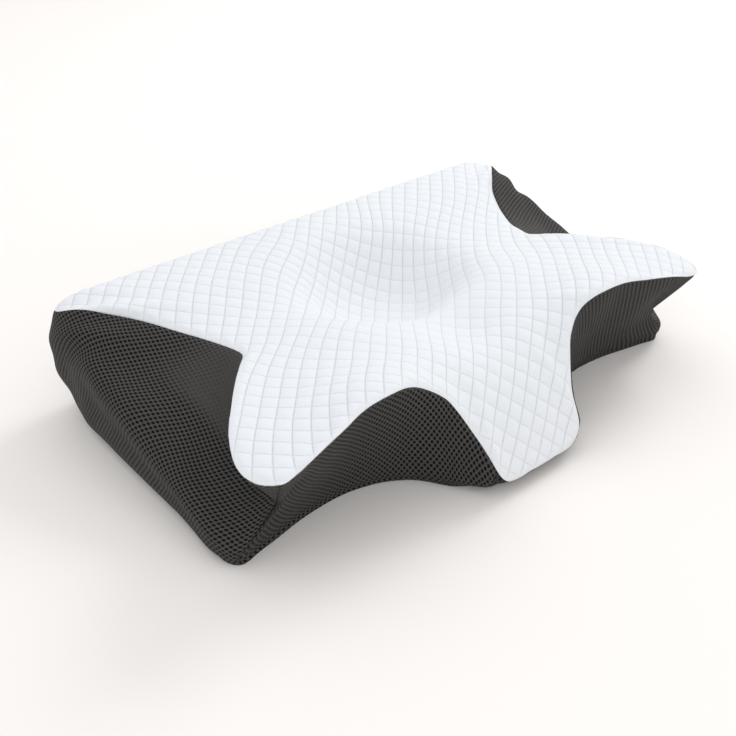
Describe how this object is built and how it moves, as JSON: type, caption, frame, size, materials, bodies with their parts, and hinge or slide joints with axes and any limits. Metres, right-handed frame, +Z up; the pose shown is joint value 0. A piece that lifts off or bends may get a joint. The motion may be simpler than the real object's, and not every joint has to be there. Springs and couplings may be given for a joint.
{
  "type": "contoured neck support pillow",
  "caption": "Butterfly-shaped contoured foam neck pillow in a zipped cover, with a quilted top, mesh sides, a head hollow and arm notches.",
  "frame": {"origin": "centre of the pillow's footprint, on the surface that it rests on", "axes": "+X across the pillow (its long side), +Y towards the straight back wall with the zipper, +Z up"},
  "size_m": [0.6, 0.3977, 0.1294],
  "materials": {
    "quilted_knit": "white quilted knit, matt",
    "air_mesh": "black 3-D air mesh, matt",
    "bottom_mesh": "black air mesh with fine grip dots, matt",
    "liner_knit": "thin off-white knit, matt",
    "memory_foam": "moulded open-cell foam, matt",
    "zipper_tape": "black woven tape",
    "zipper_coil": "black nylon, satin",
    "zipper_metal": "black lacquered zinc, gloss",
    "label": "white satin ribbon, blank"
  },
  "bodies": {
    "root": {"foam_core": "memory_foam", "liner_top": "liner_knit", "liner_body": "liner_knit", "quilted_top_panel": "quilted_knit", "left_side_mesh": "air_mesh", "right_side_mesh": "air_mesh", "front_left_mesh": "air_mesh", "front_right_mesh": "air_mesh", "back_mesh_upper": "air_mesh", "back_mesh_lower": "air_mesh", "bottom_panel": "bottom_mesh", "zipper_tape_upper": "zipper_tape", "zipper_tape_lower": "zipper_tape", "zipper_coil_upper": "zipper_coil", "zipper_coil_lower": "zipper_coil", "zipper_top_stop": "zipper_metal", "zipper_bottom_stop": "zipper_metal", "care_label": "label"},
    "slider": {"zipper_slider": "zipper_metal"},
    "pull": {"zipper_pull": "zipper_metal"}
  },
  "joints": [
    {"name": "zipper_slide", "type": "slide", "parent": "root", "child": "slider", "axis": [1, 0, 0], "range_m": [-0.4228, 0]},
    {"name": "pull_hinge", "type": "hinge", "parent": "slider", "child": "pull", "pos_m": [0.2114, 0.1996, 0.052], "axis": [0, 0, -1], "range_deg": [0, 170]}
  ]
}
